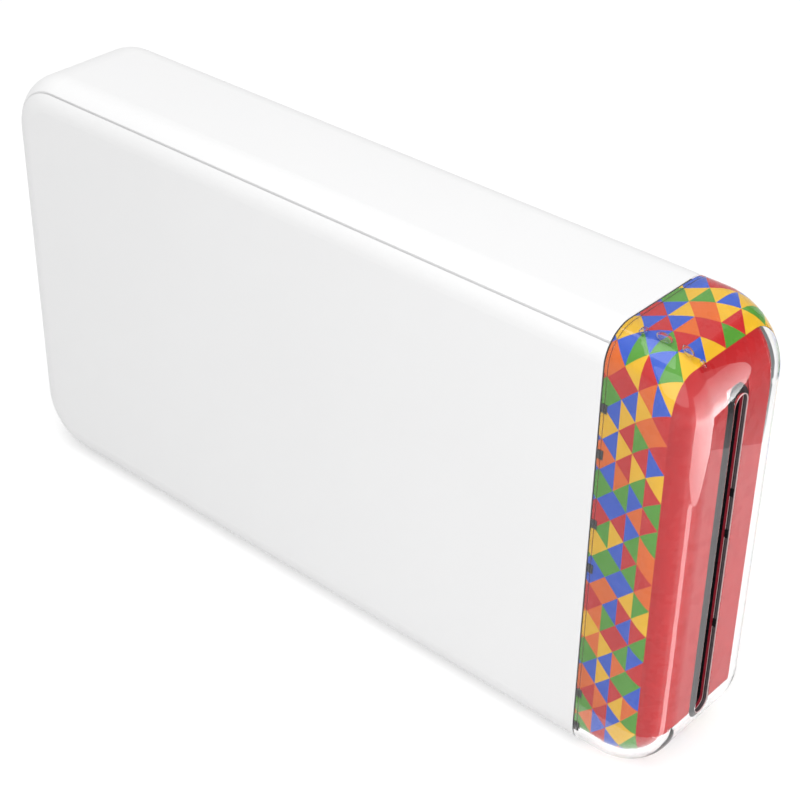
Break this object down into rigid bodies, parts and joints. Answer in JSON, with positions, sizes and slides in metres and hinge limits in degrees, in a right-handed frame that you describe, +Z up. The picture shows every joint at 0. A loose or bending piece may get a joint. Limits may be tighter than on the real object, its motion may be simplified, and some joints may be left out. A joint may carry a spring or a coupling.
{
  "type": "compact photo printer",
  "caption": "Slim white photo printer standing on its long edge, with a hinged clear end door over a coloured liner and a paper slot.",
  "frame": {"origin": "middle of the long narrow side that the printer stands on, at the surface it stands on", "axes": "+X along the length towards the clear end door, -Y towards the large front face, +Z up across the width"},
  "size_m": [0.15, 0.027, 0.08],
  "materials": {
    "white_housing": "fine satin moulded texture",
    "clear_shell": "polished clear polycarbonate",
    "coloured_liner": null,
    "black_plastic": "fine matt",
    "dark_plastic": "fine matt, glass-filled",
    "steel": "bright drawn",
    "plated_sheet": "zinc-plated sheet",
    "brass": "turned",
    "aluminium": "extruded",
    "rubber": "ground",
    "ceramic": "glazed substrate",
    "gear_plastic": "acetal, natural",
    "board_green": "solder mask",
    "chip_black": "moulded epoxy",
    "light_diffuser": "frosted clear",
    "battery_foil": "laminated foil pouch",
    "cable_film": "flat flexible cable"
  },
  "bodies": {
    "root": {"front_cover": "white_housing", "rear_housing": "white_housing", "chassis": "dark_plastic", "bay_top_plate": "plated_sheet", "chassis_screws": "steel", "main_board": "board_green", "board_components": "chip_black", "board_screws": "steel", "charging_port": "steel", "power_switch": "steel", "status_lightpipe": "light_diffuser", "battery": "battery_foil", "head_cable": "cable_film", "drive_motor": "steel", "lift_motor": "steel", "gear_axles": "steel", "roller_bushes": "brass", "ribbon_sensor": "chip_black", "latch_spring": "steel"},
    "door": {"door_shell": "clear_shell", "door_liner": "coloured_liner", "slot_bezel": "black_plastic", "door_frame": "dark_plastic", "hinge_pins": "steel"},
    "power_button": {"power_button": "white_housing"},
    "head_arm": {"head_arm": "plated_sheet", "head_shaft": "steel", "arm_sector": "gear_plastic", "heat_sink": "aluminium", "thermal_head": "ceramic"},
    "pinch_roller": {"pinch_roller": "rubber"},
    "lift_pinion": {"lift_pinion": "gear_plastic"},
    "platen": {"platen_roller": "rubber", "platen_shaft": "steel"},
    "feed_roller": {"feed_roller": "steel", "feed_gear": "gear_plastic"},
    "reduction_gear_1": {"reduction_gear_1": "gear_plastic"},
    "reduction_gear_2": {"reduction_gear_2": "gear_plastic"},
    "motor_pinion": {"motor_pinion": "gear_plastic"},
    "takeup_idler": {"takeup_idler": "gear_plastic"},
    "takeup_gear": {"takeup_gear": "gear_plastic"},
    "cartridge_latch": {"cartridge_latch": "black_plastic"}
  },
  "joints": [
    {"name": "door_hinge", "type": "hinge", "parent": "root", "child": "door", "pos_m": [0.0624, 0.0105, 0.04], "axis": [0, 0, 1], "range_deg": [0, 90]},
    {"name": "power_button_press", "type": "slide", "parent": "root", "child": "power_button", "axis": [1, 0, 0], "range_m": [0, 0.0005], "stiffness_N_per_m": 200},
    {"name": "head_arm_lift", "type": "hinge", "parent": "root", "child": "head_arm", "pos_m": [0.012, -0.0093, 0.04], "axis": [0, 0, 1], "range_deg": [0, 14.2]},
    {"name": "pinch_roller_spin", "type": "hinge", "parent": "head_arm", "child": "pinch_roller", "pos_m": [0.052, -0.0101, 0.04], "axis": [0, 0, 1], "continuous": true},
    {"name": "lift_pinion_spin", "type": "hinge", "parent": "root", "child": "lift_pinion", "pos_m": [0.012, 0.0067, 0.04], "axis": [0, 0, 1], "range_deg": [-77, 0]},
    {"name": "platen_spin", "type": "hinge", "parent": "root", "child": "platen", "pos_m": [0.0426, 0.0049, 0.04], "axis": [0, 0, 1], "continuous": true},
    {"name": "feed_roller_spin", "type": "hinge", "parent": "root", "child": "feed_roller", "pos_m": [0.051, 0.0037, 0.04], "axis": [0, 0, 1], "continuous": true},
    {"name": "reduction_gear_1_spin", "type": "hinge", "parent": "root", "child": "reduction_gear_1", "pos_m": [0.0346, 0.00202, 0.04], "axis": [0, 0, 1], "continuous": true},
    {"name": "reduction_gear_2_spin", "type": "hinge", "parent": "root", "child": "reduction_gear_2", "pos_m": [0.04494, 0.0002, 0.04], "axis": [0, 0, 1], "continuous": true},
    {"name": "motor_pinion_spin", "type": "hinge", "parent": "root", "child": "motor_pinion", "pos_m": [0.02757, 0.0068, 0.04], "axis": [0, 0, 1], "continuous": true},
    {"name": "takeup_idler_spin", "type": "hinge", "parent": "root", "child": "takeup_idler", "pos_m": [0.02107, 0.00305, 0.04], "axis": [0, 0, 1], "continuous": true},
    {"name": "takeup_gear_spin", "type": "hinge", "parent": "root", "child": "takeup_gear", "pos_m": [0.01464, -0.00325, 0.04], "axis": [0, 0, 1], "continuous": true},
    {"name": "cartridge_latch_press", "type": "slide", "parent": "root", "child": "cartridge_latch", "axis": [0, 0, -1], "range_m": [0, 0.0008], "stiffness_N_per_m": 150}
  ],
  "couplings": [
    {"joint": "lift_pinion_spin", "follows": "head_arm_lift", "ratio": -5.4},
    {"joint": "reduction_gear_2_spin", "follows": "feed_roller_spin", "ratio": -1.3333},
    {"joint": "reduction_gear_1_spin", "follows": "feed_roller_spin", "ratio": 3.3333},
    {"joint": "motor_pinion_spin", "follows": "feed_roller_spin", "ratio": -8},
    {"joint": "takeup_idler_spin", "follows": "feed_roller_spin", "ratio": 4},
    {"joint": "takeup_gear_spin", "follows": "feed_roller_spin", "ratio": -5}
  ]
}
